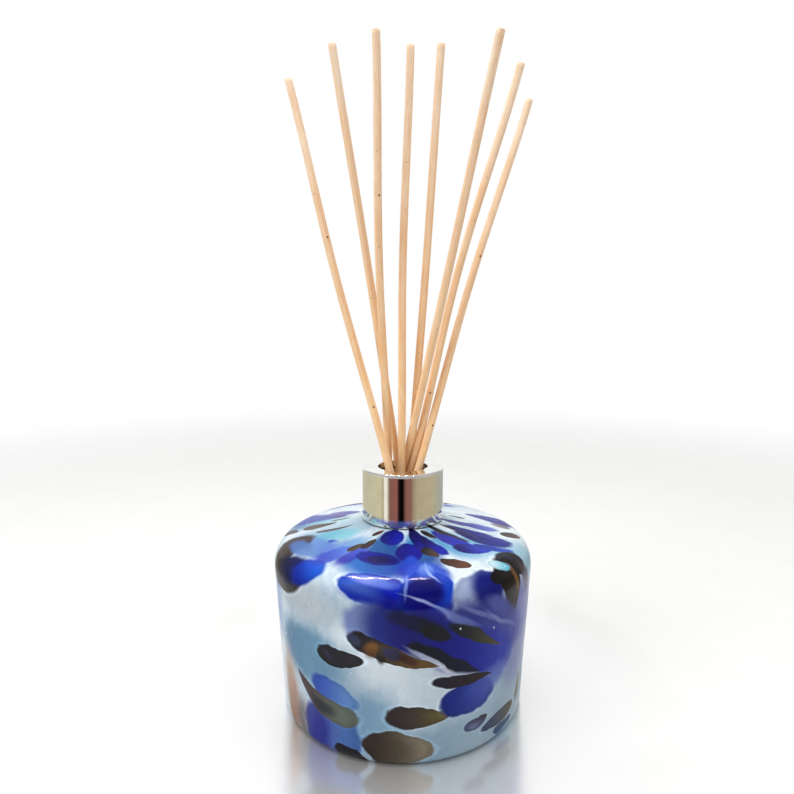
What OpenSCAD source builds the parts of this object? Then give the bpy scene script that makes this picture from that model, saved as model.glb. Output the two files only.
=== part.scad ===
// Table-top reed diffuser for home fragrance: a blown art-glass bottle with a threaded neck,
// a screwed collar made of a plastic insert in a chromed sleeve, and loose rattan reeds.
// Origin: centre of the resting face. +Z is up, and -Y is the front.

/* [Bottle] */
// Diameter of the side wall, carried down to the table
base_d = 92.4; // [86:0.2:98]
// Outward lean of the side wall, in degrees
side_lean = 3.3; // [0:0.1:5]
// Height of the flat ring that the collar stands over
seat_h = 70.4; // [66:0.2:76]
// Fall of the shoulder towards the side, in degrees
shoulder_fall = 13; // [8:0.5:18]
// Radius between shoulder and side
shoulder_round = 9; // [7:0.5:14]
// Radius between side and foot
heel_round = 3; // [2:0.5:5]
// Thickness of the glass wall
wall = 3.4; // [2.8:0.2:4.4]
// Thickness of the glass floor
floor_t = 6; // [5:0.5:9]
// Height of the hollow under the base
punt_h = 1.6; // [0.5:0.1:2.5]
// Inner diameter of the foot ring
foot_d = 66; // [50:1:76]

/* [Neck] */
// Diameter of the neck below its thread
neck_d = 24.6; // [24.4:0.1:24.8]
// Bore of the neck
neck_bore = 20.8; // [20:0.2:21]
// Height of the neck's rim above the table
neck_h = 86; // [85.8:0.1:86.2]
// Pitch of the screw thread
pitch = 3; // [2.8:0.1:3.2]
// Turns of thread on the neck and in the collar
thread_turns = 1.5; // [1:0.25:1.75]

/* [Collar] */
// Outside diameter of the collar
collar_d = 31.4; // [31:0.2:33]
// Height of the collar
collar_h = 20; // [19.8:0.1:20.2]
// Diameter of the hole that the reeds come out of
hole_d = 19; // [18.8:0.1:19.4]
// Thickness of the chromed sleeve
sleeve_t = 0.8; // [0.6:0.1:0.9]
// Depth of the lip that turns down inside the hole
lip_h = 2.4; // [1.6:0.1:2.6]
// Thickness of the neck gasket
gasket_t = 1.1; // [0.9:0.05:1.15]

/* [Reeds] */
// Diameter of a reed
reed_d = 3; // [2.6:0.1:3]
// Length of a reed
reed_l = 240; // [180:5:250]

/* [Hidden] */
$fn = 96;

// Gap between parts that move against each other
gap = 0.05;
// Collar heights
collar_z = seat_h + 0.4;
top_z = collar_z + collar_h;
web_z = neck_h + gasket_t + 2*gap;
// Thread sizes: the neck's ridge points out, the collar's ridge points in, half a pitch away
ridge = 1.15;
ridge_root = 1.6;
ridge_tip = 0.8;
thread_z = 76;
insert_bore = neck_d + 2*ridge + 0.6;

// Each reed's axis: x and y where it meets the glass floor, then x and y at the collar's top
REEDS = [
    [17.3, -17.6, -5, -5.6],
    [10.7, 11.2, -2.1, 7.6],
    [-3.6, 7.6, -5.6, 3.3],
    [-2.5, -6.2, -0.6, -1.2],
    [-2.7, 4.5, 3.2, 5.2],
    [-16.5, 18.6, 0.9, 3.1],
    [-18.6, -0.3, 3.8, 1.7],
    [-20, -17.4, 6.2, -1.6]
];

glass = [0.62, 0.80, 0.88];
foam = [0.92, 0.91, 0.88];
plastic = [0.24, 0.25, 0.27];
chrome = [0.82, 0.82, 0.83];
rattan = [0.86, 0.68, 0.48];

// A line in a section is [normal, distance]: the normal points out of the glass
function dot(a, b) = a[0]*b[0] + a[1]*b[1];
function inward(edge, by) = [edge[0], edge[1] - by];
function meet(a, b) = let(d = a[0][0]*b[0][1] - a[0][1]*b[0][0])
    [(a[1]*b[0][1] - a[0][1]*b[1])/d, (a[0][0]*b[1] - b[0][0]*a[1])/d];

side_edge = [[cos(side_lean), -sin(side_lean)], base_d/2*cos(side_lean)];
seat_r = collar_d/2 + 0.3;
fall_normal = [sin(shoulder_fall), cos(shoulder_fall)];
shoulder_edge = [fall_normal, dot(fall_normal, [seat_r, seat_h])];
function floor_edge(z) = [[0, -1], -z];

// Half section of the bottle's body, drawn in from the outside by a wall thickness
module body_section(inset, z, heel) {
    side = inward(side_edge, inset);
    shoulder = inward(shoulder_edge, inset);
    bend = shoulder_round - inset;
    h = meet(inward(floor_edge(z), heel), inward(side, heel));
    s = meet(inward(side, bend), inward(shoulder, bend));
    top = shoulder[1]/shoulder[0][1];
    polygon([
        [0, z],
        [h[0], z],
        h + heel*side[0],
        s + bend*side[0],
        s + bend*shoulder[0],
        [0, top]
    ]);
    translate(h)
        circle(r = heel);
    translate(s)
        circle(r = bend);
}

// Screw ridge on a cylinder of radius r: way is 1 for a ridge that points out, -1 for in
module screw_ridge(r, way, z) {
    steps = round(36*thread_turns);
    function ring(i) = let(a = 360*thread_turns*i/steps, h = z + pitch*a/360, n = len(cut))
        [for (p = cut) [(r + way*p[0])*cos(a), (r + way*p[0])*sin(a), h + way*p[1]]];
    cut = [[-0.3, -ridge_root/2], [ridge, -ridge_tip/2], [ridge, ridge_tip/2], [-0.3, ridge_root/2]];
    points = [for (i = [0:steps]) each ring(i)];
    sides = [for (i = [0:steps - 1], k = [0:3]) let(a = 4*i + k, b = 4*i + (k + 1)%4)
        each [[a, b, b + 4], [a, b + 4, a + 4]]];
    ends = [[3, 2, 1], [3, 1, 0], [4*steps, 4*steps + 1, 4*steps + 2], [4*steps, 4*steps + 2, 4*steps + 3]];
    polyhedron(points = points, faces = concat(sides, ends), convexity = 4);
}

module bottle() {
    color(glass)
    difference() {
        union() {
            rotate_extrude()
                difference() {
                    body_section(0, 0, heel_round);
                    translate([0, seat_h])
                        square([seat_r + 5, 10]);
                }
            translate([0, 0, seat_h - 2])
                cylinder(d = neck_d, h = neck_h - seat_h + 2);
            screw_ridge(neck_d/2, 1, thread_z);
        }
        rotate_extrude()
            body_section(wall, floor_t, heel_round + 2);
        translate([0, 0, seat_h - 10])
            cylinder(d = neck_bore, h = neck_h - seat_h + 20);
        // hollow under the base, part of a large sphere
        punt_r = (pow(foot_d/2, 2) + pow(punt_h, 2))/(2*punt_h);
        translate([0, 0, punt_h - punt_r])
            sphere(r = punt_r);
    }
}

module neck_gasket() {
    color(foam)
    translate([0, 0, neck_h + gap])
        difference() {
            cylinder(d = neck_d + 1.6, h = gasket_t);
            translate([0, 0, -1])
                cylinder(d = neck_bore, h = gasket_t + 2);
        }
}

module collar_insert() {
    outer = collar_d/2 - sleeve_t;
    bottom = collar_z + 0.4;
    color(plastic) {
        difference() {
            translate([0, 0, bottom])
                cylinder(r = outer, h = top_z - 1 - bottom);
            translate([0, 0, bottom - 1])
                cylinder(d = insert_bore, h = web_z - bottom + 1);
            translate([0, 0, web_z - 1])
                cylinder(r = hole_d/2 + 0.6, h = 10);
        }
        screw_ridge(insert_bore/2, -1, thread_z - pitch/2);
    }
}

module collar_sleeve() {
    outer = collar_d/2;
    inner = outer - sleeve_t;
    color(chrome)
    rotate_extrude() {
        // side wall with a rolled lower edge
        translate([inner, collar_z + sleeve_t/2])
            square([sleeve_t, collar_h - sleeve_t/2 - 0.6]);
        translate([inner + sleeve_t/2, collar_z + sleeve_t/2])
            circle(d = sleeve_t);
        // top face
        translate([hole_d/2 + 0.3, top_z - 1])
            square([outer - hole_d/2 - 0.9, 1]);
        translate([outer - 0.6, top_z - 0.6])
            circle(r = 0.6);
        translate([inner - 1, top_z - 1])
            square([1 + sleeve_t, 0.4]);
        // lip inside the hole
        translate([hole_d/2, top_z - lip_h])
            square([0.6, lip_h - 0.3]);
        translate([hole_d/2 + 0.3, top_z - 0.3])
            circle(r = 0.3);
    }
}

// A reed's axis runs from its point on the floor to its point at the collar's top, and its
// foot starts far enough along it for the lower edge to clear the glass
module reed(k) {
    r = REEDS[k - 1];
    run = [r[2] - r[0], r[3] - r[1], top_z - floor_t];
    tilt = acos(run[2]/norm(run));
    turn = atan2(run[1], run[0]);
    color(rattan)
    translate([r[0], r[1], floor_t])
        rotate([0, 0, turn])
            rotate([0, tilt, 0])
                translate([0, 0, reed_d/2*tan(tilt) + gap])
                    cylinder(d = reed_d, h = reed_l);
}

bottle();
neck_gasket();
collar_insert();
collar_sleeve();
reed(1);  // reed_1
reed(2);  // reed_2
reed(3);  // reed_3
reed(4);  // reed_4
reed(5);  // reed_5
reed(6);  // reed_6
reed(7);  // reed_7
reed(8);  // reed_8
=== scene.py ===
"""Looks for the reed diffuser: art-glass bottle, chrome collar, rattan reeds, plain studio."""

import math
import random

import bpy
import numpy as np
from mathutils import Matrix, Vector, noise


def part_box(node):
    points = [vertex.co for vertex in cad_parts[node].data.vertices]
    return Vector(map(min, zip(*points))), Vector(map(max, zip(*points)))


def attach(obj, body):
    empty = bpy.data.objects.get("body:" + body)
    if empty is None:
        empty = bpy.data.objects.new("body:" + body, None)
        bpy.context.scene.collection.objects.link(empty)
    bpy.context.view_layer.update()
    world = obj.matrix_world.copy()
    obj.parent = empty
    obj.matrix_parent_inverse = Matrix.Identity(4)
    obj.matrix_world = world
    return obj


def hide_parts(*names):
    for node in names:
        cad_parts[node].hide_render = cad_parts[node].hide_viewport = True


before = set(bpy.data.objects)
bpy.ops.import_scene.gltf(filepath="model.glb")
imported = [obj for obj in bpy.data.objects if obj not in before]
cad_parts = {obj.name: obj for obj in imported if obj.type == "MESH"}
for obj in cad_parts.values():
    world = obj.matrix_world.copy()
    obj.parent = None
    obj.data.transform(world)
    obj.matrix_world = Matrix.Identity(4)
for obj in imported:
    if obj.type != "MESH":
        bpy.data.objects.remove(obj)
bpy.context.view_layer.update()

# ---------------------------------------------------------------- sizes, in millimetres
MM = 0.001
SIDE_LEAN = 3.3
SHOULDER_FALL = 13.0
SHOULDER_ROUND = 9.0
HEEL_ROUND = 3.0
BASE_R = 46.2
SEAT_H = 70.4
WALL = 3.4
FLOOR_T = 6.0
PUNT_H = 1.6
FOOT_R = 33.0
PITCH = 3.0
THREAD_Z = 76.0
THREAD_TURNS = 1.5
RIDGE = 1.15
NECK_R = 12.3
THREAD_ROOT = 0.8
THREAD_TIP = 0.4
THREAD_ROWS = 0.2
LIP_H = 2.4
SLEEVE_T = 0.8
TOP_T = 1.0
BOTTLE_STEPS = 256
COLLAR_STEPS = 192
# the hand-blown wall's waves: how deep, and how long up the side
WAVE_DEPTH = 0.16
WAVE_LENGTH = 22.0

# The glass's own map: degrees round the axis, and a running height that goes up the side and on
# across the shoulder, as height above the table plus the distance in from WIDEST_R
WIDEST_R = 49.0
MM_PER_DEGREE = 0.84


def node_points(node):
    """A CAD node's vertices at rest, in millimetres."""
    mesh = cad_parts[node].data
    points = np.empty(len(mesh.vertices) * 3)
    mesh.vertices.foreach_get("co", points)
    return points.reshape(-1, 3) / MM


def radii(node):
    """Smallest and largest distance of a CAD node from the bottle's axis, in millimetres."""
    r = np.hypot(*node_points(node)[:, :2].T)
    return r.min(), r.max()


def heights(node):
    """Lowest and highest point of a CAD node, in millimetres."""
    low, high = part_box(node)
    return low.z / MM, high.z / MM


# ---------------------------------------------------------------- mesh building
def line_meet(a, b):
    """Where two lines cross; a line is (normal r, normal z, distance)."""
    d = a[0] * b[1] - a[1] * b[0]
    return (a[2] * b[1] - a[1] * b[2]) / d, (a[0] * b[2] - b[0] * a[2]) / d


def rounded(corners, closed=False, longest=1.2, arc_step=9.0):
    """Points along a chain of (r, z, radius) corners, with each corner rounded by its radius."""
    count = len(corners)
    chain = []
    for i, (r, z, radius) in enumerate(corners):
        here = np.array((r, z), float)
        at_end = not closed and i in (0, count - 1)
        if at_end or radius <= 0:
            chain.append(here)
            continue
        before = np.array(corners[i - 1][:2], float) - here
        after = np.array(corners[(i + 1) % count][:2], float) - here
        before /= np.linalg.norm(before)
        after /= np.linalg.norm(after)
        half = math.acos(max(-1.0, min(1.0, float(before @ after)))) / 2
        middle = before + after
        middle /= np.linalg.norm(middle)
        centre = here + middle * radius / math.sin(half)
        start = here + before * radius / math.tan(half) - centre
        end = here + after * radius / math.tan(half) - centre
        turn = math.atan2(start[0] * end[1] - start[1] * end[0], float(start @ end))
        steps = max(2, round(abs(math.degrees(turn)) / arc_step))
        for k in range(steps + 1):
            a = turn * k / steps
            chain.append(centre + np.array((start[0] * math.cos(a) - start[1] * math.sin(a),
                                            start[0] * math.sin(a) + start[1] * math.cos(a))))
    points = []
    last = len(chain) if closed else len(chain) - 1
    for i in range(last):
        a, b = chain[i], chain[(i + 1) % len(chain)]
        steps = max(1, math.ceil(np.linalg.norm(b - a) / longest))
        points += [a + (b - a) * k / steps for k in range(steps)]
    if not closed:
        points.append(chain[-1])
    return np.array(points)


def mesh_object(name, vertices, faces, material):
    """A smooth-shaded object from vertices in millimetres."""
    mesh = bpy.data.meshes.new(name)
    mesh.from_pydata([tuple(c * MM for c in v) for v in vertices], [], faces)
    mesh.shade_smooth()
    mesh.materials.append(material)
    mesh.validate()
    piece = bpy.data.objects.new(name, mesh)
    bpy.context.scene.collection.objects.link(piece)
    return piece


def lathe(name, outline, material, steps, closed=False, reshape=None):
    """A turned piece: (r, z) points swept round the Z axis. reshape takes (angle, r, z) and moves r and z."""
    on_axis = [not closed and r < 1e-6 for r, _ in outline]
    vertices, rings = [], []
    for (r, z), pole in zip(outline, on_axis):
        if pole:
            rings.append([len(vertices)] * steps)
            vertices.append((0.0, 0.0, z))
            continue
        rings.append(list(range(len(vertices), len(vertices) + steps)))
        for k in range(steps):
            angle = 2 * math.pi * k / steps
            rr, zz = reshape(angle, r, z) if reshape else (r, z)
            vertices.append((rr * math.cos(angle), rr * math.sin(angle), zz))
    faces = []
    pairs = zip(rings, rings[1:] + rings[:1]) if closed else zip(rings, rings[1:])
    for a, b in pairs:
        for k in range(steps):
            n = (k + 1) % steps
            corners = (a[k], a[n], b[n], b[k])
            faces.append(tuple(dict.fromkeys(corners)))
    return mesh_object(name, vertices, faces, material)


# ---------------------------------------------------------------- node tools
def colour(text):
    """A linear RGBA from the usual #rrggbb."""
    parts = [int(text[i:i + 2], 16) / 255 for i in (1, 3, 5)]
    return tuple(p / 12.92 if p <= 0.04045 else ((p + 0.055) / 1.055) ** 2.4 for p in parts) + (1.0,)


class Tree:
    """Short names for building a node tree."""

    def __init__(self, tree):
        self.tree = tree

    def feed(self, socket, value):
        if isinstance(value, bpy.types.NodeSocket):
            self.tree.links.new(value, socket)
        elif value is not None:
            socket.default_value = value

    def add(self, kind, inputs=(), **settings):
        node = self.tree.nodes.new(kind)
        for key, value in settings.items():
            setattr(node, key, value)
        for key, value in dict(inputs).items():
            self.feed(node.inputs[key], value)
        return node

    def math(self, operation, a, b=None, c=None, clamp=False):
        node = self.add("ShaderNodeMath", operation=operation, use_clamp=clamp)
        for socket, value in zip(node.inputs, (a, b, c)):
            self.feed(socket, value)
        return node.outputs[0]

    def vector_math(self, operation, a, b=None, c=None):
        node = self.add("ShaderNodeVectorMath", operation=operation)
        for socket, value in zip(node.inputs, (a, b, c)):
            self.feed(socket, value)
        return node.outputs["Value" if operation in ("LENGTH", "DISTANCE", "DOT_PRODUCT") else "Vector"]

    def part(self, vector, axis):
        """One part of a vector. Unlike a Separate node, it leaves no unused output on the shader's stack."""
        return self.vector_math("DOT_PRODUCT", vector, tuple(float(axis == a) for a in "XYZ"))

    def ramp(self, value, low, high, to_low=0.0, to_high=1.0, smooth=True):
        node = self.add("ShaderNodeMapRange", interpolation_type="SMOOTHSTEP" if smooth else "LINEAR")
        for key, item in zip(("Value", "From Min", "From Max", "To Min", "To Max"),
                             (value, low, high, to_low, to_high)):
            self.feed(node.inputs[key], item)
        return node.outputs["Result"]

    def mix(self, factor, a, b, blend="MIX"):
        node = self.add("ShaderNodeMix", data_type="RGBA", blend_type=blend, clamp_factor=True)
        self.feed(node.inputs[0], factor)
        self.feed(node.inputs[6], a)
        self.feed(node.inputs[7], b)
        return node.outputs[2]

    def join(self, x=0.0, y=0.0, z=0.0):
        return self.add("ShaderNodeCombineXYZ", {"X": x, "Y": y, "Z": z}).outputs[0]

    def split(self, vector):
        return self.add("ShaderNodeSeparateXYZ", {"Vector": vector}).outputs

    def noise(self, vector, scale, detail=2.0, rough=0.5, distortion=0.0):
        node = self.add("ShaderNodeTexNoise", {"Vector": vector, "Scale": scale, "Detail": detail,
                                               "Roughness": rough, "Distortion": distortion})
        return node.outputs["Fac"]

    def object_mm(self):
        place = self.add("ShaderNodeTexCoord").outputs["Object"]
        node = self.add("ShaderNodeVectorMath", {"Vector": place, "Scale": 1 / MM}, operation="SCALE")
        return node.outputs["Vector"]

    def bump(self, height, strength, distance):
        return self.add("ShaderNodeBump", {"Height": height, "Strength": strength,
                                           "Distance": distance}).outputs["Normal"]


def new_material(name):
    """An empty node material, its tree tools and its Principled shader."""
    material = bpy.data.materials.new(name)
    material.use_nodes = True
    material.node_tree.nodes.clear()
    t = Tree(material.node_tree)
    shader = t.add("ShaderNodeBsdfPrincipled")
    out = t.add("ShaderNodeOutputMaterial")
    t.tree.links.new(shader.outputs["BSDF"], out.inputs["Surface"])
    return material, t, shader


# ---------------------------------------------------------------- art glass
# How much lighter the ground is in a crisp chip's rim, and the softness below which a chip is crisp
HALO = 1.22
CRISP_BELOW = 0.2
# The clear casing's gloss, and the gamma that deepens the colours seen through it
CASING_GLOSS = 0.27
CASING_ROUGHNESS = 0.1
DEPTH_OF_COLOUR = 1.28
# The seed of the chips on the back
BACK_SEED = 7
WHITE = "#d6dfe5"
ICE = "#aabfcc"
PALE = "#9fb4ca"
SKY = "#7393cf"
ULTRA = "#0a0a92"
VIOLET = "#41389a"
MAUVE = "#6a63a4"
SLATE = "#474d6b"
DARK = "#29211f"
BROWN = "#4d3a33"
RED_BROWN = "#74503f"
AMBER = "#7a5a34"

# One melted chip or stretched patch of colour on each line, painted from the first to the last:
# azimuth (0 is the front, in degrees), running height, half length, half width (mm), lean of its
# length (degrees), taper of its tail, bend (mm), softness of its edge, colours of head and tail, cover
FRONT = [
    # broad soft fields
    (-45, 54, 16, 8, -4, 0.0, 0, 0.5, "#aab2ba", "#b4bbc2", 0.7),
    (-42, 35, 17, 9.5, -5, 0.0, 0, 0.35, "#5d86a2", "#7ba2b8", 0.95),
    (-26, 27, 12, 12, -8, 0.1, 0, 0.5, "#7496ae", "#9fb5c4", 0.9),
    (3, 30, 17, 9, -4, 0.0, 0, 0.5, "#d6dfe6", "#c8d4de", 0.9),
    (-13, 16, 10, 13, -6, 0.0, 0, 0.5, "#84a2ba", "#93b0c4", 1.0),
    (-68, 47, 13, 4, 86, 0.0, 0, 0.5, "#8ba0cc", "#9fb2d2", 0.85),
    (24, 9, 20, 10, 6, 0.0, 0, 0.4, "#93aec2", "#aabfcc", 0.9),
    (52, 14, 12, 9, 30, 0.0, 0, 0.5, "#9fb3c2", "#a9bac8", 0.9),
    (60, 32, 12, 12, -10, 0.0, 0, 0.5, "#7f8ab4", "#949cc0", 0.9),
    (55, 46, 16, 12, -20, 0.0, 0, 0.4, "#4f5a9c", "#7880b4", 0.95),
    (72, 62, 10, 7, 88, 0.0, 0, 0.5, "#86aabc", "#9cbccb", 0.85),
    (-58, 14, 15, 6, 96, 0.0, 0, 0.5, "#967058", "#b39a88", 0.95),
    (-47, 8, 9, 5, 100, 0.0, 0, 0.5, "#5f5a5e", "#75706f", 0.85),
    (-12, 79, 19, 10, 0, 0.0, 0, 0.35, "#3f7abc", "#2452a8", 1.0),
    (-14, 90, 10, 13, 0, 0.0, 0, 0.3, "#356c9e", "#2c5c98", 1.0),
    (12, 88, 13, 11, -80, 0.0, 0, 0.4, "#4283b4", "#34609c", 1.0),
    (41, 89, 16, 11, -45, 0.0, 0, 0.4, "#5b98bf", "#78aecb", 0.95),
    (58, 77, 14, 6, -62, 0.0, 0, 0.5, "#83b0c8", "#9cc0d2", 0.9),
    (-60, 78, 15, 7, 8, 0.0, 0, 0.35, "#7396c8", "#5f86c4", 0.95),
    (-40, 84, 12, 8, 62, 0.0, 0, 0.4, "#6d86c8", "#7fa9cc", 0.9),
    (-62, 90, 13, 6, 30, 0.0, 0, 0.4, "#74b0c4", "#8fc4d0", 0.95),
    (-94, 88, 12, 6, 80, 0.0, 0, 0.4, "#9cc4cc", "#b4d2d4", 0.8),
    # left shoulder and corner
    (-70, 66, 15, 7.5, -78, 0.1, 0, 0.16, BROWN, "#4a3d38", 1.0),
    (-58, 58.5, 12, 6.5, 8, -0.1, 1.5, 0.1, "#2f2826", "#3b322c", 1.0),
    (-54, 63, 10.5, 6.6, 24, 0.1, 0, 0.25, "#141b46", "#1c2c78", 1.0),
    (-45, 65.5, 8.8, 6.2, 52, 0.05, 0, 0.16, "#1436a0", "#2f6cd0", 1.0),
    (-62, 73, 10.5, 4.2, 6, 0.1, 0, 0.35, "#587ab2", "#7090be", 0.95),
    (-42, 78, 9, 4.5, 66, 0.1, 0, 0.3, "#4050b8", "#5c7ccc", 0.9),
    (-30, 82, 9, 3.8, 66, 0.1, 0, 0.3, "#3f3aa8", "#4a5cc0", 0.9),
    (-55, 85.5, 3.4, 1.3, 24, 0.2, 0, 0.3, "#2f42b0", SKY, 0.95),
    (-90, 83, 8.5, 3.6, 84, 0.3, 0.5, 0.1, "#6a5552", BROWN, 0.95),
    (-74, 90, 9, 1.8, 66, 0.3, 0.5, 0.12, "#6a5552", BROWN, 0.95),
    (-96, 93, 5.5, 1.3, 86, 0.3, 0, 0.15, "#6f5a58", BROWN, 0.9),
    (-91, 69, 4.5, 2.6, 60, 0.1, 0, 0.15, "#594a46", BROWN, 0.9),
    (-116, 90, 10, 6.5, 88, 0.1, 0, 0.3, MAUVE, VIOLET, 0.9),
    (-34, 87, 4.6, 2.4, 52, 0.1, 0.3, 0.12, "#4d423e", "#5f5149", 1.0),
    (-27.5, 91, 4.6, 2.6, 60, 0.1, 0.3, 0.12, "#3d3430", "#4f4139", 1.0),
    (-28, 100, 4.2, 1.8, 32, 0.2, 0, 0.12, BROWN, RED_BROWN, 1.0),
    # centre shoulder
    (-15, 82, 11.5, 4.6, -6, 0.1, 0, 0.16, "#1c2c9c", "#0c0f80", 1.0),
    (-14, 81.4, 6.5, 2.6, -2, 0.1, 0, 0.3, "#1b1466", "#120c60", 1.0),
    (-10.5, 98, 10, 6, 0, 0.0, 0, 0.12, "#0a0b80", "#1c2aa4", 1.0),
    (4, 87, 7.6, 6.6, 0, 0.1, 0, 0.12, "#030484", "#080c98", 1.0),
    (3, 78, 7, 4.2, 70, 0.0, 0, 0.3, "#2740b0", "#2c58c0", 0.95),
    (15, 95, 11, 6, -66, 0.1, 0, 0.12, "#120860", "#101090", 1.0),
    (23, 90, 9, 4.2, -56, 0.1, 0, 0.14, "#160c66", "#1b24a8", 1.0),
    (27.5, 98.6, 5.6, 2.3, -40, 0.2, 0, 0.1, DARK, "#4a3020", 1.0),
    (18, 86, 5, 3.0, -40, 0.1, 0, 0.12, "#302a30", "#5c4c44", 1.0),
    (27.6, 76.4, 6.8, 3.0, -34, 0.0, 0.2, 0.08, "#4a3228", RED_BROWN, 1.0),
    # right shoulder
    (45, 97, 12, 3, -62, 0.1, 0, 0.12, "#2b2024", "#4d3a3e", 1.0),
    (42, 90, 12, 5, -56, 0.1, 0, 0.14, "#3a349c", "#2f44b8", 1.0),
    (64, 83, 14, 6.2, -66, 0.0, 0, 0.18, "#201c6e", "#1a3294", 1.0),
    (47, 81.5, 10.5, 4.2, -26, 0.0, 0, 0.12, "#1e1078", "#3a4cc0", 1.0),
    (58, 75.5, 9, 2.2, -56, 0.1, 0, 0.2, "#27409f", "#3a5ab8", 1.0),
    (62, 95, 10, 1.9, -66, 0.2, 0, 0.14, "#33262a", "#4d3a4e", 1.0),
    (68, 90.5, 11, 3.4, -66, 0.1, 0, 0.2, "#1c1f74", "#2a3090", 1.0),
    (80, 97, 8, 4, -70, 0.1, 0, 0.2, "#3f2f86", "#4a40a0", 0.95),
    (84, 87, 9, 4.5, -80, 0.1, 0, 0.2, "#3b3a9c", "#5a68bc", 0.95),
    (96, 75, 4.5, 2.6, 80, 0.1, 0, 0.2, "#6b6068", "#7d7276", 0.85),
    (84, 71.6, 6, 2.8, -62, 0.2, 0, 0.1, "#41312f", "#6c5753", 1.0),
    # bend of the shoulder, centre
    (10.5, 71.5, 8.5, 9, 88, 0.0, 0, 0.25, "#2c48b4", "#3f62c4", 0.95),
    (-12, 64.2, 13.4, 7.5, -15, -0.12, -0.8, 0.07, "#2458c4", "#0a22a8", 1.0),
    (-12.5, 60.8, 10.5, 3.6, -16, 0.1, -0.8, 0.4, "#0c2f9c", "#06108c", 0.95),
    (-17, 63.6, 7, 2.6, -18, 0.0, -0.5, 0.7, "#6f8fc0", "#5a7cc0", 0.45),
    # painted highlight: this lilac streak along the top of the blue patch is a sheen painted into the glass's
    # colour
    (-12, 67.4, 8.5, 2.4, -8, 0.0, 0, 0.5, "#98a4e0", "#6f88d4", 0.8),
    (9.6, 62.6, 12, 9.4, 86, 0.05, 0, 0.07, "#1646b8", "#1f58ca", 1.0),
    (7.6, 62.4, 8.8, 7.0, 60, 0.0, 0, 0.3, "#02027c", "#010170", 1.0),
    (11, 74, 4.5, 3, 80, 0.1, 0, 0.4, "#5a7ad0", "#86a4de", 0.7),
    # bend of the shoulder, right
    (31, 58.5, 10, 10.6, -16, -0.1, 0, 0.12, "#a9b4cf", "#16298a", 1.0),
    (36, 57.5, 10.5, 5.4, -72, 0.0, 0, 0.35, "#0c1c80", "#131f7c", 0.95),
    (56, 65.5, 9, 6.2, -44, 0.1, 0, 0.12, "#2c3444", "#262024", 1.0),
    (50, 58.4, 12.2, 6.0, -84, 0.4, 0.5, 0.09, "#1f1817", "#2c211b", 1.0),
    (45.5, 62.8, 6, 3.4, 8, 0.1, 0, 0.12, "#1d181b", "#2d2422", 1.0),
    (53.5, 59.5, 7, 1.1, -84, 0.2, 0, 0.4, AMBER, "#8a6c44", 0.85),
    (47.5, 67.4, 5.6, 2.5, -40, 0.1, 0, 0.14, "#c3dae2", "#7fc0d4", 1.0),
    (63, 56, 7, 3, -70, 0.0, 0, 0.4, "#5a4f58", "#6a6a84", 0.85),
    # middle of the side
    (-12, 50, 9.5, 8.4, 4, 0.0, 0, 0.22, "#8090ba", "#27367e", 1.0),
    (0, 49.5, 12, 8, -8, 0.0, 0, 0.3, "#2c3a8c", "#141a7c", 1.0),
    (36, 46, 20, 8, -22, 0.0, 0, 0.3, "#34398c", "#4450a4", 0.95),
    (14, 46, 16, 7.5, -16, 0.0, 0, 0.3, "#141a78", "#1c2290", 1.0),
    (30, 38, 19, 8, -15, -0.1, 0, 0.2, "#13148a", "#2c3eaa", 1.0),
    (5.4, 51.6, 10, 2.5, -17, 0.2, 0, 0.3, "#0c1150", "#12152a", 0.95),
    (13, 48, 5.5, 2.3, -24, 0.0, 0, 0.2, "#14171e", "#1c2028", 1.0),
    (17, 37.9, 14.5, 2.7, -28, 0.4, 0.4, 0.14, "#10132c", "#121a3c", 1.0),
    (30.5, 44.2, 12.5, 2.0, -31, 0.65, 0.3, 0.14, "#1a1f30", "#545238", 1.0),
    (44, 50.5, 9, 2.6, -36, 0.0, 0, 0.4, "#5a64a8", "#3f4a94", 0.9),
    (22, 51.4, 8, 1.1, -30, 0.1, 0, 0.5, "#7f8cc0", "#6f7cb8", 0.8),
    (10, 58.2, 8.2, 0.6, -34, 0.0, -0.9, 0.6, "#b4bfe2", "#8f9fd6", 0.75),
    (1.2, 66, 5.5, 0.6, 88, 0.0, 0, 0.5, "#8fa8e0", "#a8bcec", 0.5),
    (12, 73, 6, 0.6, -76, 0.0, 1.2, 0.5, "#8fa8e2", "#b4c6ee", 0.8),
    (33, 50.5, 10, 0.8, -28, 0.1, 0.4, 0.6, "#9aa3cc", "#8791bc", 0.5),
    (44, 46, 9, 0.7, -32, 0.1, 0.4, 0.6, "#9aa3cc", "#8791bc", 0.5),
    (12, 38.0, 9.5, 0.9, -33, -0.1, 0, 0.4, "#a8b2cc", "#c6ccda", 0.95),
    (25, 32, 11, 1.0, -14, 0.0, -0.6, 0.5, "#c0c8d8", "#a7b3cc", 0.9),
    # long teardrop and its bands of colour
    (-4.3, 41.0, 15.8, 2.9, -18.5, 0.6, 0.55, 0.06, "#2c2833", "#77603a", 1.0),
    (-19, 45.2, 2.8, 1.5, -40, 0.0, 0, 0.4, "#3f4868", SLATE, 0.9),
    (-11.6, 42.2, 2.8, 2.6, 80, 0.0, 0, 0.4, "#6b4a30", "#8a6638", 0.95),
    (-7.8, 41, 3.2, 1.5, 84, 0.0, 0, 0.3, "#2c2721", "#5a4c3a", 0.95),
    (-3.6, 41.4, 3.0, 1.9, -20, 0.0, 0, 0.4, "#3f4068", "#3c3850", 0.95),
    (2.4, 39.8, 3.4, 1.4, -24, 0.1, 0, 0.4, "#42241f", "#5a3822", 0.9),
    # left side, lower half
    (-25.5, 37.7, 9.3, 3.3, -2, 0.3, 0.4, 0.06, "#24222e", "#3a343c", 1.0),
    (-30, 37.5, 3.2, 1.1, -30, 0.1, 0, 0.5, "#3c415e", "#2f3044", 0.8),
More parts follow.
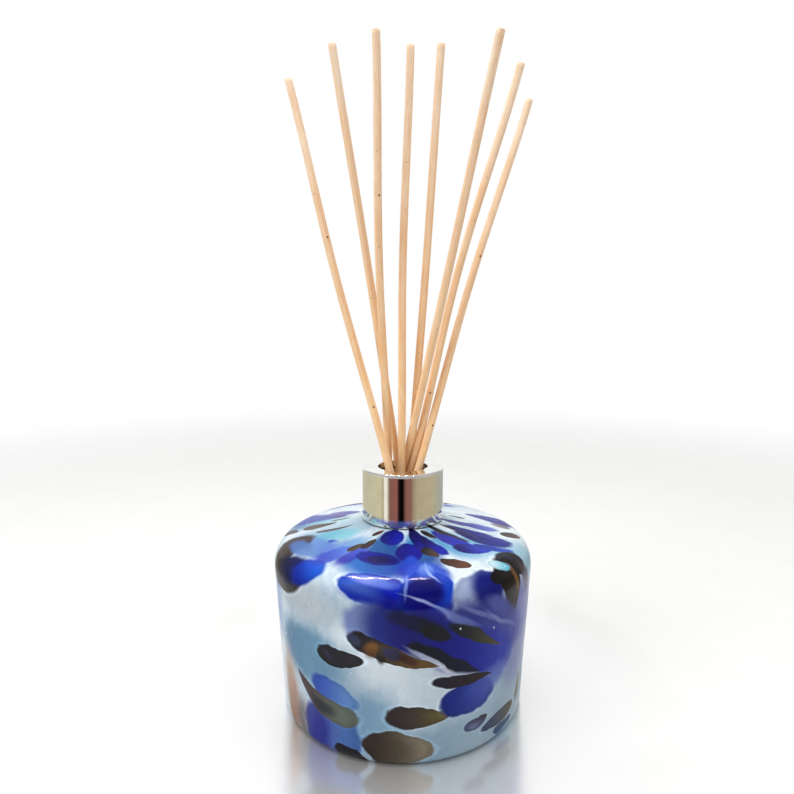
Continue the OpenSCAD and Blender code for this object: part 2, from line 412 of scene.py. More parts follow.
    (-32, 9, 12.5, 12, 0, 0.05, 0, 0.12, "#3a4a9c", "#5278b4", 0.95),
    (-38, 8, 9.5, 4.4, 86, 0.0, 0, 0.5, "#30359a", "#3a4096", 0.95),
    (-29, 24.8, 10, 4.2, -13, 0.1, 0, 0.14, "#3f62b4", "#6f94c4", 1.0),
    (-35.5, 19.2, 14.6, 3.7, 161, 0.55, -3.2, 0.07, "#747d74", "#5c4b4c", 1.0),
    (-36, 18.4, 5, 2.2, 161, 0.2, -0.8, 0.6, "#33373f", "#303440", 0.85),
    (-20, 3.6, 8.6, 3.0, -16, 0.35, 0, 0.08, "#2a2630", "#34313a", 1.0),
    # front, lower half
    (-2, 9.2, 12.7, 5.5, -4, 0.2, 0, 0.05, "#4c413a", "#989080", 1.0),
    (-5, 8.6, 8, 4.5, -5, 0.0, 0, 0.6, "#4c4238", "#5f5648", 0.7),
    (8.8, 19.9, 13.2, 3.2, 1, 0.88, 0, 0.06, "#4b4042", "#746c48", 1.0),
    (19, 20.9, 8.0, 1.0, 4, 0.4, 0, 0.3, "#6e6846", "#85856a", 0.9),
    # right side, lower half
    (27.5, 24, 11, 5.8, 4, 0.0, 0, 0.1, "#1e3a92", "#4a5cac", 1.0),
    (38, 27.5, 9, 4, 14, 0.0, 0, 0.4, "#4a5cac", "#6a7cbc", 0.85),
    (25.5, 30.4, 11.8, 2.0, -5, 0.55, -0.2, 0.08, "#322c3c", "#3a2f26", 1.0),
    (32, 13.6, 5.3, 2.2, 11, 0.2, 0, 0.1, "#646b8c", "#574f5a", 1.0),
    (32.4, 13.0, 3.2, 1.1, 11, 0.1, 0, 0.4, "#7c86a6", "#666a8c", 0.9),
    (46.5, 10.9, 9.9, 2.6, 5, -0.1, 0, 0.1, "#56607e", "#6a655c", 1.0),
    (50, 6.6, 6, 1.7, 4, 0.1, 0, 0.15, "#4b6488", "#5a7088", 1.0),
    (51, 3.4, 10, 2.0, 3, 0.0, 0, 0.4, "#78aad2", "#a6cce0", 0.95),
    (63.5, 15.5, 5, 2.2, 78, 0.1, 0, 0.3, "#6f6a54", "#948e78", 0.9),
]


def back_chips():
    """Chips for the sides and the back, in the same families of colour as the front's."""
    rng = random.Random(BACK_SEED)
    families = [
        (15, (1.7, 3.0), (2.2, 4.4), 0.08, ["#33292c", "#43332c", "#54503f", "#3a2c24"]),
        (17, (1.4, 2.3), (4.4, 7.0), 0.12, ["#04058c", ULTRA, "#12239a", "#0c1080"]),
        (14, (1.5, 2.4), (5.0, 8.0), 0.3, ["#2348b4", "#3c50a4", "#2c3ea0", "#5474c4"]),
        (14, (1.5, 2.2), (7.0, 11.0), 0.45, ["#5d86a2", "#3f7aac", "#5b98bf", "#6f92cc"]),
    ]
    chips = []
    for count, stretch, widths, soft, colours in reversed(families):
        for k in range(count):
            az = 84 + 178 * (k + rng.uniform(0.1, 0.9)) / count
            height = rng.uniform(3, 100)
            width = rng.uniform(*widths) * (0.7 if height > 78 else 1.0)
            lean = rng.gauss(80 if height > 72 else -16, 14)
            chips.append((az, height, width * rng.uniform(*stretch), width, lean,
                          rng.uniform(0.0, 0.6), rng.uniform(-1.2, 1.2), soft,
                          rng.choice(colours), rng.choice(colours), 1.0 if soft < 0.3 else 0.92))
    return chips


def chip_group(name, crisp):
    """Node group that paints one chip over the colour below it. A crisp chip gets a pale rim, a dark edge."""
    group = bpy.data.node_groups.new(name, "ShaderNodeTree")
    face = group.interface
    for key, kind in (("Under", "Color"), ("Surface", "Vector"), ("Fray", "Float"), ("Centre", "Vector"),
                      ("Lean", "Vector"), ("Halves", "Vector"), ("Taper", "Float"), ("Bend", "Float"),
                      ("Soft", "Float"), ("Head", "Color"), ("Tail", "Color"), ("Cover", "Float")):
        face.new_socket(name=key, in_out="INPUT", socket_type="NodeSocket" + kind)
    face.new_socket(name="Colour", in_out="OUTPUT", socket_type="NodeSocketColor")
    t = Tree(group)
    given = t.add("NodeGroupInput").outputs
    # a trace of the colour below goes into the place, so that chips are worked out one after another
    place = t.vector_math("MULTIPLY_ADD", given["Under"], (1e-5, 1e-5, 0.0), given["Surface"])
    own = t.add("ShaderNodeMapping", {"Vector": place, "Location": given["Centre"],
                                      "Rotation": given["Lean"], "Scale": given["Halves"]},
                vector_type="TEXTURE").outputs[0]
    along = t.part(own, "X")
    bent = t.math("MULTIPLY_ADD", t.math("MULTIPLY", along, along), given["Bend"], t.part(own, "Y"))
    slim = t.math("MAXIMUM", t.math("MULTIPLY_ADD", along, given["Taper"], 1.0), 0.03)
    reach = t.vector_math("LENGTH", t.join(along, t.math("DIVIDE", bent, slim)))
    reach = t.math("ADD", reach, given["Fray"])
    inside = t.ramp(reach, t.math("ADD", 1.0, given["Soft"]), t.math("SUBTRACT", 1.0, given["Soft"]),
                    0.0, given["Cover"])
    body = t.mix(t.ramp(along, -0.75, 0.75), given["Head"], given["Tail"])
    under = given["Under"]
    if crisp:
        edge = t.ramp(reach, 0.6, 1.0, 1.0, 0.8)
        shade = t.add("ShaderNodeVectorMath", {"Vector": body, "Scale": edge}, operation="SCALE")
        body = shade.outputs["Vector"]
        rim = t.ramp(reach, 1.18, 1.03, 1.0, HALO)
        glow = t.add("ShaderNodeVectorMath", {"Vector": under, "Scale": rim}, operation="SCALE")
        under = glow.outputs["Vector"]
    t.add("NodeGroupOutput", {"Colour": t.mix(inside, under, body)})
    return group


def art_glass():
    """White, aqua and blue glass with brown chips, under a clear glossy casing."""
    material, t, shader = new_material("art_glass")
    place = t.object_mm()
    x, y, z = t.split(place)
    radius = t.vector_math("LENGTH", t.join(x, y))
    height = t.math("ADD", z, t.math("SUBTRACT", WIDEST_R, radius))
    # a seamless place on the blown surface, for the noises
    inverse = t.math("DIVIDE", WIDEST_R, t.math("MAXIMUM", radius, 1.0))
    blown = t.join(t.math("MULTIPLY", x, inverse), t.math("MULTIPLY", y, inverse), height)
    drawn = t.vector_math("MULTIPLY", blown, (1.0, 1.0, 0.7))
    # the coloured chips wander a little; the front's run counts from the front, the back's from the back
    sway = t.math("MULTIPLY_ADD", t.noise(blown, 0.09, 2), 2.0, -1.0)
    drift = t.math("MULTIPLY_ADD", t.noise(blown, 0.11, 2, 0.5, 0.4), 2.4, -1.2)
    up = t.math("ADD", height, drift)
    per_radian = math.degrees(MM_PER_DEGREE)
    front = t.math("MULTIPLY_ADD", t.math("ARCTAN2", x, t.math("MULTIPLY", y, -1.0)), per_radian, sway)
    back = t.math("MULTIPLY_ADD", t.math("ARCTAN2", t.math("MULTIPLY", x, -1.0), y), per_radian, sway)
    fray = t.math("MULTIPLY_ADD", t.noise(blown, 0.22, 2), 0.3, -0.15)
    # opal white to ice blue, with thin drawn streaks
    veil = t.ramp(t.noise(drawn, 0.035, 3, 0.55, 0.6), 0.38, 0.66)
    paint = t.mix(veil, colour(WHITE), colour(ICE))
    streaks = t.ramp(t.noise(drawn, 0.16, 4, 0.6, 1.0), 0.5, 0.72)
    paint = t.mix(t.math("MULTIPLY", streaks, 0.35), paint, colour(PALE))
    soft_group, crisp_group = chip_group("melted_field", False), chip_group("melted_chip", True)
    for start, run, chips in ((180, t.join(back, up), back_chips()), (0, t.join(front, up), FRONT)):
        for az, up_at, length, width, lean, taper, bend, soft, head, tail, cover in chips:
            node = t.add("ShaderNodeGroup", node_tree=crisp_group if soft < CRISP_BELOW else soft_group)
            values = {"Under": paint, "Surface": run, "Fray": fray,
                      "Centre": ((az - start) * MM_PER_DEGREE, up_at, 0.0),
                      "Lean": (0.0, 0.0, math.radians(lean)), "Halves": (length, width, 1.0),
                      "Taper": -taper, "Bend": -bend / width, "Soft": soft, "Head": colour(head),
                      "Tail": colour(tail), "Cover": cover}
            for key, value in values.items():
                t.feed(node.inputs[key], value)
            paint = node.outputs["Colour"]
    # fine flow lines and a few seeds of air in the casing
    lines = t.ramp(t.noise(drawn, 0.45, 4, 0.65, 1.5), 0.3, 0.75, 0.93, 1.05, smooth=False)
    paint = t.mix(1.0, paint, t.join(lines, lines, lines), "MULTIPLY")
    seeds = t.add("ShaderNodeTexVoronoi", {"Vector": blown, "Scale": 0.11})
    seed = t.ramp(seeds.outputs["Distance"], 0.05, 0.03)
    paint = t.mix(t.math("MULTIPLY", seed, 0.7), paint, colour("#e6eef2"))
    paint = t.add("ShaderNodeGamma", {"Color": paint, "Gamma": DEPTH_OF_COLOUR}).outputs[0]
    t.feed(shader.inputs["Base Color"], paint)
    t.feed(shader.inputs["Roughness"], t.ramp(t.noise(blown, 0.2, 3), 0.3, 0.7, 0.3, 0.4))
    t.feed(shader.inputs["IOR"], 1.45)
    t.feed(shader.inputs["Specular IOR Level"], 0.05)
    t.feed(shader.inputs["Coat Weight"], CASING_GLOSS)
    t.feed(shader.inputs["Coat Roughness"], CASING_ROUGHNESS)
    t.feed(shader.inputs["Coat IOR"], 1.52)
    waves = t.noise(blown, 0.045, 2, 0.4, 0.3)
    t.feed(shader.inputs["Coat Normal"], t.bump(waves, 0.35, 0.004))
    t.feed(shader.inputs["Normal"], t.bump(t.noise(blown, 0.12, 2), 0.15, 0.003))
    return material


def bottle_outline():
    """Half section of the bottle: underside, side, shoulder, neck, and back down the inside."""
    neck_h = heights("bottle")[1]
    lean, fall = math.radians(SIDE_LEAN), math.radians(SHOULDER_FALL)
    seat_r = radii("collar_sleeve")[1] + 0.3
    side = (math.cos(lean), -math.sin(lean), BASE_R * math.cos(lean))
    shoulder = (math.sin(fall), math.cos(fall), math.sin(fall) * seat_r + math.cos(fall) * SEAT_H)
    inner_side = side[:2] + (side[2] - WALL,)
    inner_shoulder = shoulder[:2] + (shoulder[2] - WALL,)
    floor, table = (0.0, 1.0, FLOOR_T), (0.0, 1.0, 0.0)
    bore_r = radii("neck_gasket")[0]
    bore = (1.0, 0.0, bore_r)
    punt_r = (FOOT_R ** 2 + PUNT_H ** 2) / (2 * PUNT_H)
    punt = [(r, PUNT_H - r * r / (2 * punt_r), 0) for r in np.linspace(0, FOOT_R, 7)[:-1]]
    # close rows where the thread runs, so that its ridge keeps its narrow shape
    thread_low, thread_top = THREAD_Z - PITCH / 2, THREAD_Z + PITCH * (THREAD_TURNS + 0.5)
    thread_rows = [(NECK_R, z, 0) for z in np.arange(thread_low, thread_top, THREAD_ROWS)]
    return rounded(punt + [
        (FOOT_R, 0.0, 2.0),
        (*line_meet(side, table), HEEL_ROUND),
        (*line_meet(side, shoulder), SHOULDER_ROUND),
        (seat_r, SEAT_H, 1.5),
        (NECK_R, SEAT_H, 0.8),
        *thread_rows,
        (NECK_R, neck_h, 0.5),
        (bore_r, neck_h, 0.5),
        (*line_meet(bore, inner_shoulder), 1.5),
        (*line_meet(inner_side, inner_shoulder), SHOULDER_ROUND - WALL),
        (*line_meet(inner_side, floor), HEEL_ROUND + 2),
        (0.0, FLOOR_T, 0),
    ])


def thread(angle, z):
    """Height of the neck's screw ridge at a place on the neck."""
    best = 0.0
    turn = angle / (2 * math.pi)
    while turn <= THREAD_TURNS:
        off = abs(z - THREAD_Z - PITCH * turn)
        fade = min(1.0, turn / 0.06, (THREAD_TURNS - turn) / 0.06)
        best = max(best, min(1.0, (THREAD_ROOT - off) / (THREAD_ROOT - THREAD_TIP)) * fade)
        turn += 1.0
    return max(0.0, best) * RIDGE


def blown_shape(angle, r, z):
    """The neck gets its thread, and the body the slight waves of hand-blown glass, inwards only."""
    if abs(r - NECK_R) < 0.02 and z > SEAT_H + 2:
        return r + thread(angle, z), z
    outside = r > WIDEST_R - 6 and 4 < z < SEAT_H - 2
    if not outside:
        return r, z
    ease = min(1.0, (z - 4) / 14, (SEAT_H - 2 - z) / 10)
    wave = noise.noise(Vector((2.0 * math.cos(angle), 2.0 * math.sin(angle), z / WAVE_LENGTH)))
    return r - WAVE_DEPTH * (1.0 + wave) * ease, z


def build_bottle():
    piece = lathe("bottle_glass", bottle_outline(), art_glass(), BOTTLE_STEPS,
                  reshape=blown_shape)
    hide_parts("bottle")
    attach(piece, "bottle")


# ---------------------------------------------------------------- collar
def chrome():
    """Polished chrome plate with faint turned lines and handling marks."""
    material, t, shader = new_material("collar_chrome")
    place = t.object_mm()
    z = t.split(place)[2]
    rings = t.noise(t.join(0.0, 0.0, t.math("MULTIPLY", z, 14.0)), 1.0, 3)
    haze = t.noise(place, 0.16, 4, 0.6)
    tone = t.ramp(haze, 0.3, 0.75)
    t.feed(shader.inputs["Base Color"], t.mix(tone, colour("#f1f0ed"), colour("#e6e5e2")))
    t.feed(shader.inputs["Metallic"], 1.0)
    t.feed(shader.inputs["Roughness"], t.ramp(haze, 0.35, 0.8, 0.012, 0.035))
    t.feed(shader.inputs["Normal"], t.bump(t.math("ADD", rings, haze), 0.012, 0.001))
    return material


def build_collar():
    low, top = heights("collar_sleeve")
    hole, outer = radii("collar_sleeve")
    inner = outer - SLEEVE_T
    outline = rounded([
        (outer, low, 0.38),
        (outer, top, 0.6),
        (hole, top, 0.3),
        (hole, top - LIP_H, 0.15),
        (hole + 0.6, top - LIP_H, 0.15),
        (hole + 0.6, top - TOP_T, 0.15),
        (inner, top - TOP_T, 0.2),
        (inner, low, 0.38),
    ], closed=True, longest=1.0, arc_step=15.0)
    piece = lathe("collar_chrome", outline, chrome(), COLLAR_STEPS, closed=True)
    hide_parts("collar_sleeve")
    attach(piece, "collar")


def moulded_plastic():
    """Dark grey satin moulding with turned rings."""
    material, t, shader = new_material("insert_plastic")
    place = t.object_mm()
    z = t.split(place)[2]
    rings = t.math("SINE", t.math("MULTIPLY", z, 9.0))
    grain = t.noise(place, 2.2, 4, 0.6)
    tone = t.ramp(t.noise(place, 0.25, 3), 0.3, 0.7)
    t.feed(shader.inputs["Base Color"], t.mix(tone, colour("#3a3d42"), colour("#4a4e55")))
    t.feed(shader.inputs["Roughness"], t.ramp(grain, 0.3, 0.7, 0.36, 0.52))
    height = t.math("ADD", t.math("MULTIPLY", rings, 0.5), t.math("MULTIPLY", grain, 0.25))
    t.feed(shader.inputs["Normal"], t.bump(height, 0.5, 0.0002))
    return material


def foam():
    """White closed-cell foam."""
    material, t, shader = new_material("gasket_foam")
    place = t.object_mm()
    cells = t.add("ShaderNodeTexVoronoi", {"Vector": place, "Scale": 4.0}).outputs["Distance"]
    tone = t.ramp(t.noise(place, 0.5, 3), 0.3, 0.7)
    t.feed(shader.inputs["Base Color"], t.mix(tone, colour("#efede6"), colour("#e2dfd6")))
    t.feed(shader.inputs["Roughness"], t.ramp(cells, 0.0, 0.6, 0.95, 0.8))
    t.feed(shader.inputs["Normal"], t.bump(cells, 0.5, 0.0001))
    return material


def dress_cad_nodes():
    """The two CAD pieces that keep their own meshes get their materials."""
    for node, material in (("collar_insert", moulded_plastic()), ("neck_gasket", foam())):
        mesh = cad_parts[node]
        mesh.data.materials.clear()
        mesh.data.materials.append(material)


# ---------------------------------------------------------------- reeds
# How far each reed bows sideways out of its straight line, in millimetres to the right
BOW = {1: -1.3, 2: 0.4, 3: -1.3, 4: -1.1, 5: 0.3, 6: 0.3, 7: -2.4, 8: -1.5}
# Knots: reed, distance from its foot (mm), angle to the right of its front (degrees), size (mm), darkness
KNOTS = [(1, 112, 20, 0.42, 1.0), (1, 178, 28, 0.45, 1.0), (1, 195, -16, 0.3, 0.6), (2, 150, -20, 0.3, 0.5),
         (3, 185, 24, 0.42, 1.0), (3, 167, 3, 0.3, 0.6), (3, 200, -6, 0.3, 0.6), (4, 181, 15, 0.3, 0.6),
         (4, 198, 3, 0.3, 0.6), (5, 128, -10, 0.28, 0.5), (6, 142, 25, 0.28, 0.5), (7, 116, 0, 0.42, 1.0),
         (7, 182, 16, 0.3, 0.6), (7, 198, 3, 0.3, 0.6), (8, 174, 25, 0.45, 1.0), (8, 106, 25, 0.42, 1.0),
         (8, 192, 0, 0.3, 0.6)]
REED_SIDES = 32
REED_RINGS = 140
REED_R = 1.46
# the share of a reed that stands in the bottle, where it stays straight
HELD = 0.36
# each reed's run of grain starts this much further on, so that no two reeds look alike
REED_STEP = 400


def rattan():
    """Pale rattan: fine fibres, warmer and a touch lighter towards the foot, paler at the tip, small knots,
    open pores on its ends. The lighter foot is painted light against the shade among the reeds, the paler tip
    painted light from above.
    """
    material, t, shader = new_material("rattan")
    rod = t.add("ShaderNodeAttribute", attribute_name="rod").outputs["Vector"]
    x, y, run = t.split(rod)
    end = t.add("ShaderNodeAttribute", attribute_name="end").outputs["Fac"]
    share = t.add("ShaderNodeAttribute", attribute_name="share").outputs["Fac"]
    fibre_place = t.join(x, y, t.math("MULTIPLY", run, 0.035))
    fibre = t.noise(fibre_place, 3.2, 4, 0.6, 0.3)
    vein = t.noise(t.join(x, y, t.math("MULTIPLY", run, 0.012)), 1.1, 3, 0.5)
    patch = t.noise(t.join(0.0, 0.0, run), 0.05, 3)
    # painted light: the foot's tone is lightened against the shade the reeds cast on each other in the neck,
    # and the tip is paler as if lit from above
    base = t.mix(t.ramp(share, 0.42, 0.7), colour("#f5d1a3"), colour("#edcca6"))
    base = t.mix(t.ramp(share, 0.65, 1.0), base, colour("#f3dcc2"))
    base = t.mix(t.ramp(patch, 0.35, 0.7), base, t.mix(1.0, base, colour("#fbeee2"), "MULTIPLY"))
    base = t.mix(t.ramp(vein, 0.45, 0.7, 0.0, 0.5), base, t.mix(1.0, base, colour("#f2dcc4"), "MULTIPLY"))
    base = t.mix(t.ramp(fibre, 0.5, 0.7, 0.0, 0.4), base, colour("#cf9f76"))
    base = t.mix(t.ramp(fibre, 0.46, 0.3, 0.0, 0.45), base, colour("#f5e6d2"))
    pores = t.add("ShaderNodeTexVoronoi", {"Vector": t.join(x, y, t.math("MULTIPLY", run, 0.16)),
                                           "Scale": 2.4})
    pore = t.ramp(pores.outputs["Distance"], 0.14, 0.05, 0.0, 0.4)
    base = t.mix(pore, base, colour("#b0805a"))
    spots = 0.0
    for reed, at, seen, size, dark in KNOTS:
        turn = math.radians(seen)
        centre = (REED_R * math.sin(turn), -REED_R * math.cos(turn), at + REED_STEP * reed)
        off = t.vector_math("DISTANCE", rod, centre)
        spots = t.math("MAXIMUM", spots, t.ramp(off, size * 1.25, size * 0.45, 0.0, dark))
    base = t.mix(spots, base, colour("#5d3c28"))
    vessel = t.add("ShaderNodeTexVoronoi", {"Vector": t.join(x, y, 0.0), "Scale": 3.4})
    open_end = t.mix(t.ramp(vessel.outputs["Distance"], 0.3, 0.12), colour("#d3aa7c"), colour("#855f3c"))
    base = t.mix(end, base, open_end)
    t.feed(shader.inputs["Base Color"], base)
    t.feed(shader.inputs["Roughness"], t.ramp(fibre, 0.3, 0.7, 0.55, 0.78))
    t.feed(shader.inputs["Specular IOR Level"], 0.25)
    height = t.math("SUBTRACT", fibre, t.math("MULTIPLY", pore, 0.8))
    t.feed(shader.inputs["Normal"], t.bump(height, 0.6, 0.00025))
    return material


def reed_line(node):
    """A CAD reed's foot, its direction, its length and its radius, in millimetres."""
    points = node_points(node)
    middle = (points.min(0) + points.max(0)) / 2
    axis = np.linalg.svd(points - points.mean(0), full_matrices=False)[2][0]
    axis *= np.sign(axis[2])
    along = (points - middle) @ axis
    off = np.linalg.norm((points - middle) - np.outer(along, axis), axis=1)
    return middle + axis * along.min(), axis, along.max() - along.min(), off.max()


def build_reed(number, material):
    node = f"reed_{number}"
    foot, axis, length, radius = reed_line(node)
    right = np.cross(axis, (0.0, 1.0, 0.0))
    right *= np.sign(right[0]) / np.linalg.norm(right)
    back = np.cross(axis, right)
    back *= np.sign(back[1])
    vertices, rod, share, end = [], [], [], []

    def ring(s, inset, is_end, scale=1.0):
        sway = math.sin(math.pi * max(0.0, (s - HELD) / (1 - HELD))) ** 2 * BOW[number]
        centre = foot + axis * (s * length + inset) + right * sway
        for k in range(REED_SIDES):
            a = 2 * math.pi * k / REED_SIDES
            c, d = math.cos(a), math.sin(a)
            lump = noise.noise(Vector((c * 1.2, d * 1.2, s * length / 26 + 7 * number)))
            ridge = noise.noise(Vector((c * 5, d * 5, s * length / 90 + 13 * number)))
            r = radius * scale * (0.972 + 0.016 * lump + 0.012 * ridge)
            vertices.append(centre + (right * c + back * d) * r)
            rod.append((c * r, d * r, s * length + REED_STEP * number))
            share.append(s)
            end.append(is_end)

    for inset, scale in ((0.25, 0.0), (0.08, 0.6), (0.02, 0.9)):
        ring(0.0, inset, 1.0, scale)
    for i in range(REED_RINGS + 1):
        tuck = 0.12 if i == 0 else -0.12 if i == REED_RINGS else 0.0
        ring(i / REED_RINGS, tuck, 0.0)
    for inset, scale in ((0.02, 0.9), (0.08, 0.6), (0.2, 0.0)):
        ring(1.0, -inset, 1.0, scale)
    rings = len(vertices) // REED_SIDES
    faces = []
    for i in range(rings - 1):
        for k in range(REED_SIDES):
            n = (k + 1) % REED_SIDES
            faces.append((i * REED_SIDES + k, i * REED_SIDES + n, (i + 1) * REED_SIDES + n,
                          (i + 1) * REED_SIDES + k))
    piece = mesh_object(f"reed_{number}_rattan", vertices, faces, material)
    mesh = piece.data
    for name, kind, values in (("rod", "FLOAT_VECTOR", rod), ("share", "FLOAT", share),
                               ("end", "FLOAT", end)):
        layer = mesh.attributes.new(name, kind, "POINT")
        key = "vector" if kind == "FLOAT_VECTOR" else "value"
        layer.data.foreach_set(key, np.array(values, np.float32).ravel())
    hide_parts(node)
    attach(piece, node)


# ---------------------------------------------------------------- studio
# Levels and tones of the studio, lengths in metres
FLOOR_POLISH = 0.64
POLISH_NEAR, POLISH_FAR = 0.062, 0.118
FADE_NEAR, FADE_FAR = 0.25, 0.8
FILL = 0.58
RING_R = 0.2
RING_OPEN = 150
RING_LOW, RING_HIGH = 0.002, 0.052
RING_TURNS = 80
STRIP_DEPTH = 0.12
STRIP_POWER = 36.0
# Glowing tones of the ring wall that paint the room mirrored in the polished collar, by degrees to the right
# of the front
STUDIO = [(-180, "#c9c6b0"), (-100, "#cfc9ae"), (-62, "#d3cba8"), (-53, "#b9b193"), (-50, "#fffdf2"),
          (-42, "#f4efdd"), (-38, "#a08a78"), (-33, "#8c5f57"), (-16, "#965f58"), (-11, "#2c2120"),
          (-7, "#080707"), (1, "#0b0909"), (5, "#6e4640"), (9, "#8c5f57"), (22, "#93675c"), (29, "#a8977c"),
          (40, "#b9ae8f"), (80, "#bdb293"), (140, "#aeb3ae"), (180, "#c9c6b0")]
# Camera: distance in front, height, pitch down (degrees), lens and sensor (mm), sideways shift
CAMERA_BACK, CAMERA_UP = 0.2355, 0.1484
CAMERA_PITCH = 7.514
LENS, SENSOR = 28.415, 36.0
SHIFT = -0.0073


def circle(turns, radius=1.0, z=0.0):
    """Corners of a level circle."""
    angles = [2 * math.pi * k / turns for k in range(turns)]
    return [(radius * math.cos(a), radius * math.sin(a), z) for a in angles]


def stage_object(name, vertices, faces, material):
    """A studio object, which isn't part of the diffuser, in metres."""
    mesh = bpy.data.meshes.new(name)
    mesh.from_pydata(vertices, [], faces)
    mesh.materials.append(material)
    thing = bpy.data.objects.new(name, mesh)
    bpy.context.scene.collection.objects.link(thing)
    return thing


def build_floor():
    """A plain pale floor, polished near the bottle, that fades into the white background."""
    material, t, shader = new_material("pale_floor")
    place = t.add("ShaderNodeTexCoord").outputs["Object"]
    away = t.vector_math("LENGTH", place)
    grain = t.noise(place, 40.0, 3)
    t.feed(shader.inputs["Base Color"], t.mix(grain, colour("#dededd"), colour("#d9d9d8")))
    t.feed(shader.inputs["Roughness"], 0.6)
    t.feed(shader.inputs["Specular IOR Level"], 0.0)
    polish = t.add("ShaderNodeBsdfGlossy", {"Color": (1.0, 1.0, 1.0, 1.0), "Roughness": 0.2})
    top = t.add("ShaderNodeMixShader", {0: t.ramp(away, POLISH_NEAR, POLISH_FAR, FLOOR_POLISH, 0.0)})
    clear = t.add("ShaderNodeBsdfTransparent")
    blend = t.add("ShaderNodeMixShader", {0: t.ramp(away, FADE_NEAR, FADE_FAR)})
    out = next(n for n in t.tree.nodes if n.type == "OUTPUT_MATERIAL")
    for start, end in ((shader.outputs[0], top.inputs[1]), (polish.outputs[0], top.inputs[2]),
                       (top.outputs[0], blend.inputs[1]), (clear.outputs[0], blend.inputs[2]),
                       (blend.outputs[0], out.inputs["Surface"])):
        t.tree.links.new(start, end)
    corners = circle(64)
    stage_object("floor", corners, [tuple(range(len(corners)))], material)


def build_studio_ring():
    """A round glowing wall, open behind, that only mirror-like surfaces see: its warm grey bands and dark gap
    paint the room that the collar mirrors.
    """
    material = bpy.data.materials.new("studio_reflection_glow")
    material.use_nodes = True
    material.node_tree.nodes.clear()
    t = Tree(material.node_tree)
    x, y, _ = t.split(t.add("ShaderNodeTexCoord").outputs["Object"])
    az = t.math("DEGREES", t.math("ARCTAN2", x, t.math("MULTIPLY", y, -1.0)))
    paint = colour(STUDIO[0][1])
    for (start, _), (stop, tone) in zip(STUDIO, STUDIO[1:]):
        paint = t.mix(t.ramp(az, start, stop), paint, colour(tone))
    # painted reflection: the wall's own glow, not lamp light, gives the collar its mirrored room
    glow = t.add("ShaderNodeEmission", {"Color": paint, "Strength": 1.0})
    t.add("ShaderNodeOutputMaterial", {"Surface": glow.outputs[0]})
    sides = [math.radians(RING_OPEN * (2 * k / RING_TURNS - 1)) for k in range(RING_TURNS + 1)]
    corners = [(math.sin(a) * RING_R, -math.cos(a) * RING_R, z) for z in (RING_LOW, RING_HIGH) for a in sides]
    faces = [(k, k + 1, RING_TURNS + k + 2, RING_TURNS + k + 1) for k in range(RING_TURNS)]
    ring = stage_object("studio_ring", corners, faces, material)
    ring.visible_camera = ring.visible_diffuse = ring.visible_shadow = False
    ring.visible_transmission = ring.visible_volume_scatter = False


def soft_light(name, place, target, size, watts, tint="#ffffff", mirrored=False):
    """A soft box that points at a target, all in metres. Mirror-like surfaces see it only if mirrored."""
    data = bpy.data.lights.new(name, "AREA")
    data.shape = "RECTANGLE"
    data.size, data.size_y = size
    data.energy = watts
    data.color = colour(tint)[:3]
    lamp = bpy.data.objects.new(name, data)
    lamp.location = place
    lamp.rotation_euler = (Vector(place) - Vector(target)).to_track_quat("Z", "Y").to_euler()
    bpy.context.scene.collection.objects.link(lamp)
    lamp.visible_camera = False
    lamp.visible_glossy = mirrored
    return lamp


def build_lights():
    """One large soft box above, one on each side, and two strips that give the glass its highlights."""
    soft_light("top_box", (0.0, 0.05, 0.9), (0.0, 0.0, 0.05), (0.9, 0.5), 7.0)
    soft_light("left_box", (-0.8, -0.5, 0.6), (0.0, 0.0, 0.08), (0.6, 0.8), 5.4)
    soft_light("right_box", (0.8, -0.4, 0.5), (0.0, 0.0, 0.08), (0.5, 0.7), 1.8, "#fff4ea")
    for name, at, width in (("left_strip", -0.17, 0.26), ("right_strip", 0.11, 0.13)):
        strip = soft_light(name, (at, 0.36, 1.0), (0.0, -0.04, 0.07), (width, STRIP_DEPTH),
                           width * STRIP_POWER, "#fff0f6", mirrored=True)
        strip.visible_diffuse = False


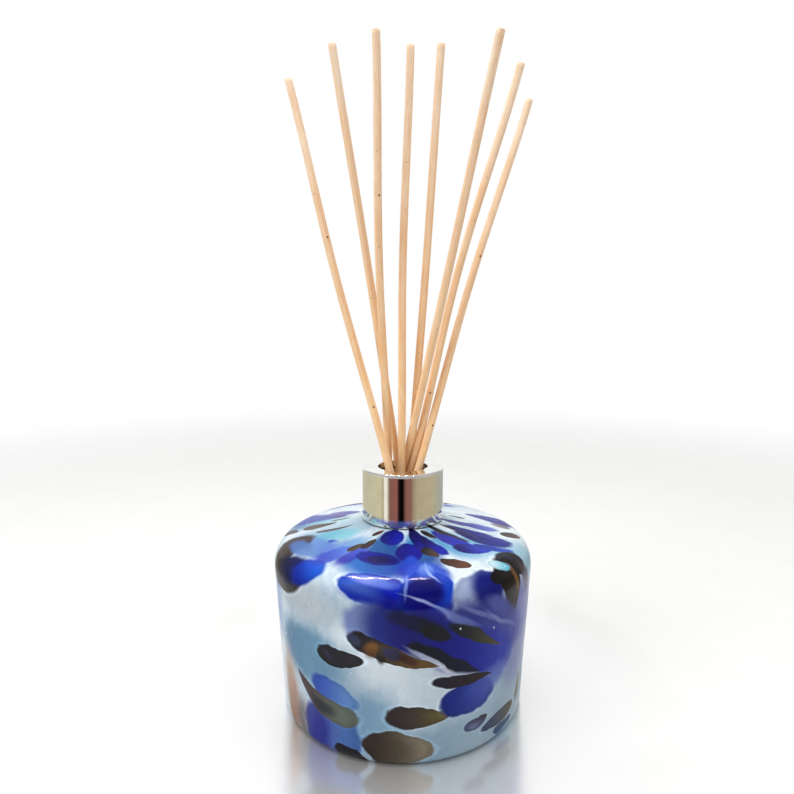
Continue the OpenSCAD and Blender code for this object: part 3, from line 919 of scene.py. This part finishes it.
def build_world():
    """White studio air, dimmer towards the sides; mirror-like surfaces see levels of their own."""
    world = bpy.data.worlds.new("studio")
    bpy.context.scene.world = world
    world.use_nodes = True
    world.node_tree.nodes.clear()
    t = Tree(world.node_tree)
    x, y, z = t.split(t.add("ShaderNodeTexCoord").outputs["Generated"])
    sideways = t.math("ABSOLUTE", x)
    fill = t.ramp(sideways, 0.35, 0.95, FILL, FILL * 0.45)
    # the room in mirror images: white straight up, dimmer lower down, pale at the sides and behind
    dome = t.ramp(z, 0.6, 0.97, 0.32, 0.9)
    sides = t.math("MULTIPLY", t.ramp(sideways, 0.35, 0.7, 0.0, 0.6), t.ramp(z, 0.1, 0.3))
    rear = t.ramp(y, 0.2, 0.9, 0.0, 1.02)
    low = t.math("MULTIPLY", t.ramp(z, 0.02, 0.15), t.ramp(z, 0.6, 0.4, 0.0, 0.6))
    mirror = dome
    for part in (sides, low, rear):
        mirror = t.math("MAXIMUM", mirror, part)
    path = t.add("ShaderNodeLightPath").outputs
    level = t.math("ADD", t.math("MULTIPLY", path["Is Glossy Ray"], mirror),
                   t.math("MULTIPLY", t.math("SUBTRACT", 1.0, path["Is Glossy Ray"]), fill))
    seen = path["Is Camera Ray"]
    level = t.math("ADD", t.math("MULTIPLY", t.math("SUBTRACT", 1.0, seen), level), seen)
    shader = t.add("ShaderNodeBackground", {"Color": (1.0, 1.0, 1.0, 1.0), "Strength": level})
    t.add("ShaderNodeOutputWorld", {"Surface": shader.outputs[0]})


def build_camera():
    """The photograph's viewpoint: in front of the bottle, a little above it, looking slightly down."""
    data = bpy.data.cameras.new("camera")
    data.lens = LENS
    data.sensor_width = SENSOR
    data.shift_x = SHIFT
    data.clip_start = 0.01
    camera = bpy.data.objects.new("camera", data)
    camera.location = (0.0, -CAMERA_BACK, CAMERA_UP)
    camera.rotation_euler = (math.radians(90 - CAMERA_PITCH), 0.0, 0.0)
    bpy.context.scene.collection.objects.link(camera)
    bpy.context.scene.camera = camera


build_camera()
build_world()
build_floor()
build_studio_ring()
build_lights()
bpy.context.scene.view_settings.view_transform = "Standard"

build_bottle()
build_collar()
dress_cad_nodes()
reed_material = rattan()
for number in sorted(BOW):
    build_reed(number, reed_material)
